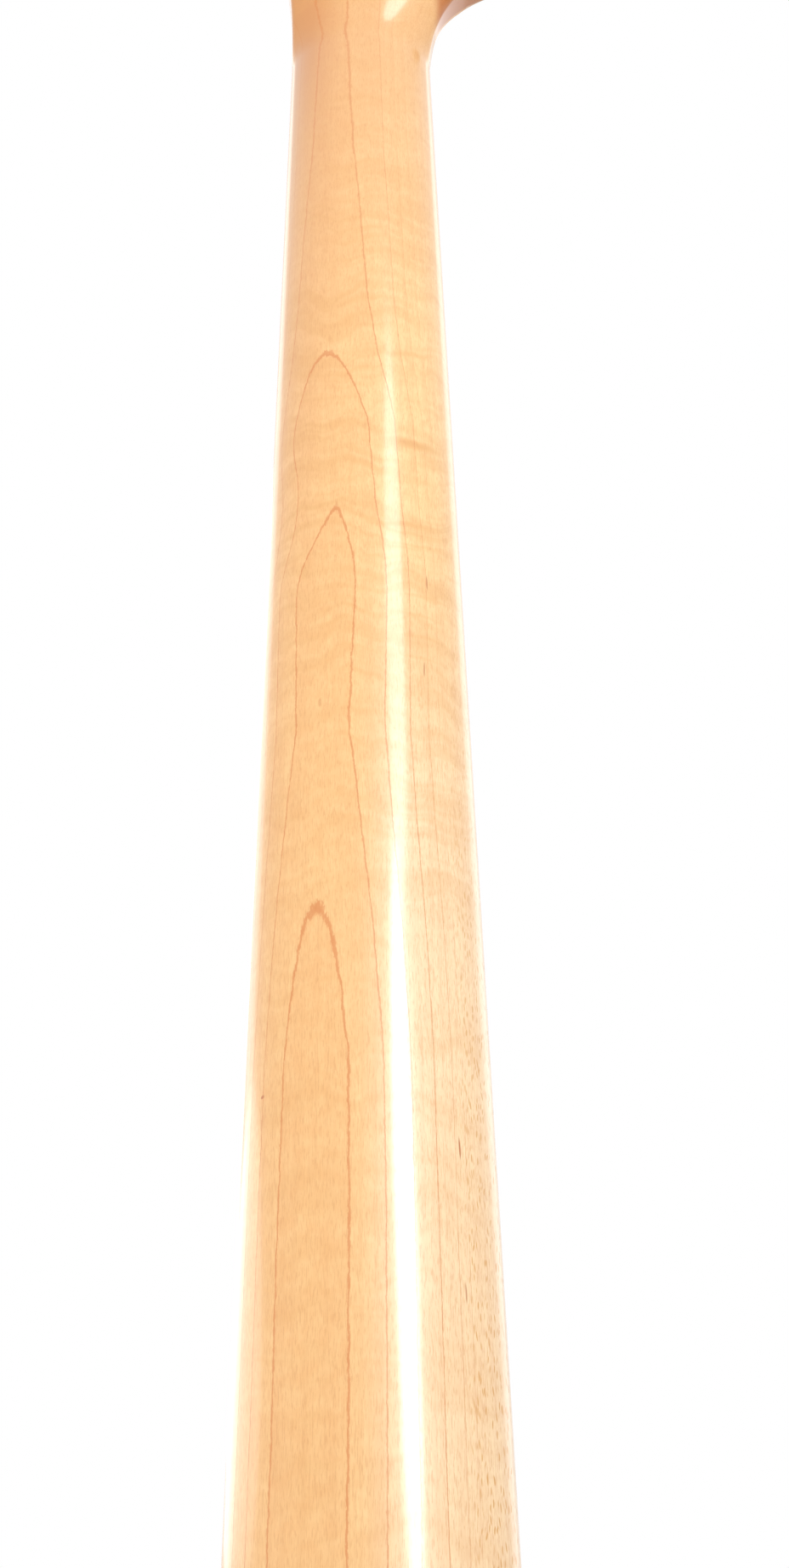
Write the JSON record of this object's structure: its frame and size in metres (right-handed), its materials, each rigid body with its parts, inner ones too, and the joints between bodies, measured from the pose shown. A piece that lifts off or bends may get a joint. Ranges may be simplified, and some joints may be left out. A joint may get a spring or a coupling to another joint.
{
  "type": "bass guitar neck",
  "caption": "Bolt-on electric bass neck in maple: rounded back, heel block, one-sided headstock flare, fretboard, truss rod and worm-geared tuners.",
  "frame": {"origin": "centre of the heel's four-bolt pattern, on the heel's flat back face", "axes": "+Z along the neck to the headstock, +Y out of the neck's back (the fretboard faces -Y), +X to the treble side, so the tuner keys stand out on the bass side, -X"},
  "size_m": [0.1139, 0.048, 0.845],
  "materials": {
    "maple": "gloss clear coat",
    "rosewood": "oiled satin",
    "fret_wire": "polished nickel silver",
    "bone": "polished bone",
    "inlay": "pearloid",
    "side_dot": "plain",
    "rod_steel": "bright drawn",
    "rod_brass": "machined",
    "tuner_nickel": "nickel plated",
    "gear_brass": "machined",
    "screw_steel": "nickel plated"
  },
  "bodies": {
    "root": {"neck": "maple", "fretboard": "rosewood", "frets": "fret_wire", "nut": "bone", "position_dots": "inlay", "side_dots": "side_dot", "truss_rod_heel_block": "rod_brass", "truss_rod_head_block": "rod_brass", "truss_rod_bar": "rod_steel", "string_guide": "tuner_nickel", "string_guide_screw": "screw_steel", "tuner_1_plate": "tuner_nickel", "tuner_1_bushing": "tuner_nickel", "tuner_1_screws": "screw_steel", "tuner_2_plate": "tuner_nickel", "tuner_2_bushing": "tuner_nickel", "tuner_2_screws": "screw_steel", "tuner_3_plate": "tuner_nickel", "tuner_3_bushing": "tuner_nickel", "tuner_3_screws": "screw_steel", "tuner_4_plate": "tuner_nickel", "tuner_4_bushing": "tuner_nickel", "tuner_4_screws": "screw_steel"},
    "truss_rod": {"truss_rod_screw": "rod_steel"},
    "post_1": {"tuner_1_post": "tuner_nickel", "tuner_1_gear": "gear_brass", "tuner_1_gear_screw": "screw_steel"},
    "key_1": {"tuner_1_worm": "tuner_nickel", "tuner_1_key": "tuner_nickel"},
    "post_2": {"tuner_2_post": "tuner_nickel", "tuner_2_gear": "gear_brass", "tuner_2_gear_screw": "screw_steel"},
    "key_2": {"tuner_2_worm": "tuner_nickel", "tuner_2_key": "tuner_nickel"},
    "post_3": {"tuner_3_post": "tuner_nickel", "tuner_3_gear": "gear_brass", "tuner_3_gear_screw": "screw_steel"},
    "key_3": {"tuner_3_worm": "tuner_nickel", "tuner_3_key": "tuner_nickel"},
    "post_4": {"tuner_4_post": "tuner_nickel", "tuner_4_gear": "gear_brass", "tuner_4_gear_screw": "screw_steel"},
    "key_4": {"tuner_4_worm": "tuner_nickel", "tuner_4_key": "tuner_nickel"}
  },
  "joints": [
    {"name": "truss_rod_turn", "type": "hinge", "parent": "root", "child": "truss_rod", "pos_m": [0, -0.0142, 0.5575], "axis": [0, 0, 1], "range_deg": [-360, 360]},
    {"name": "key_1_turn", "type": "hinge", "parent": "root", "child": "key_1", "pos_m": [-0.01704, 0.0062, 0.63717], "axis": [-0.9756, 0, 0.2195], "continuous": true},
    {"name": "post_1_turn", "type": "hinge", "parent": "root", "child": "post_1", "pos_m": [-0.02, 0, 0.624], "axis": [0, 1, 0], "continuous": true},
    {"name": "key_2_turn", "type": "hinge", "parent": "root", "child": "key_2", "pos_m": [-0.00804, 0.0062, 0.67717], "axis": [-0.9756, 0, 0.2195], "continuous": true},
    {"name": "post_2_turn", "type": "hinge", "parent": "root", "child": "post_2", "pos_m": [-0.011, 0, 0.664], "axis": [0, 1, 0], "continuous": true},
    {"name": "key_3_turn", "type": "hinge", "parent": "root", "child": "key_3", "pos_m": [0.00096, 0.0062, 0.71717], "axis": [-0.9756, 0, 0.2195], "continuous": true},
    {"name": "post_3_turn", "type": "hinge", "parent": "root", "child": "post_3", "pos_m": [-0.002, 0, 0.704], "axis": [0, 1, 0], "continuous": true},
    {"name": "key_4_turn", "type": "hinge", "parent": "root", "child": "key_4", "pos_m": [0.00996, 0.0062, 0.75717], "axis": [-0.9756, 0, 0.2195], "continuous": true},
    {"name": "post_4_turn", "type": "hinge", "parent": "root", "child": "post_4", "pos_m": [0.007, 0, 0.744], "axis": [0, 1, 0], "continuous": true}
  ],
  "couplings": [
    {"joint": "post_1_turn", "follows": "key_1_turn", "ratio": 0.05},
    {"joint": "post_2_turn", "follows": "key_2_turn", "ratio": 0.05},
    {"joint": "post_3_turn", "follows": "key_3_turn", "ratio": 0.05},
    {"joint": "post_4_turn", "follows": "key_4_turn", "ratio": 0.05}
  ]
}
